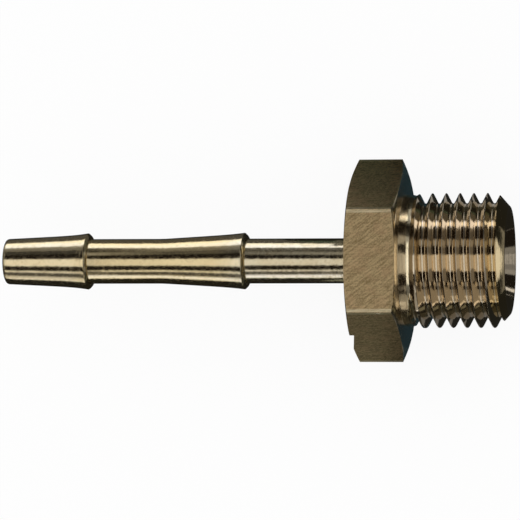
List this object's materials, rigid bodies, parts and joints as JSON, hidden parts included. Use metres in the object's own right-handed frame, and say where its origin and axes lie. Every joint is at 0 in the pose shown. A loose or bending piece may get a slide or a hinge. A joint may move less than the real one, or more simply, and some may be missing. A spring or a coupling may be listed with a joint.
{
  "type": "hose barb tail",
  "caption": "Turned brass hose barb tail with a hexagon for the spanner, a male pipe thread with a cone seat at its end, and a bore right through.",
  "frame": {"origin": "on the turning axis, in the hexagon's shoulder face that the thread screws up to", "axes": "+X along the turning axis towards the threaded end, +Z out of the hexagon flat that lies uppermost, +Y out of a corner of the hexagon"},
  "size_m": [0.05, 0.0196, 0.017],
  "materials": {
    "brass": "turned bright, with the hexagon's flats left as dull drawn bar"
  },
  "bodies": {
    "root": {"hose_barb_tail": "brass"}
  },
  "joints": []
}
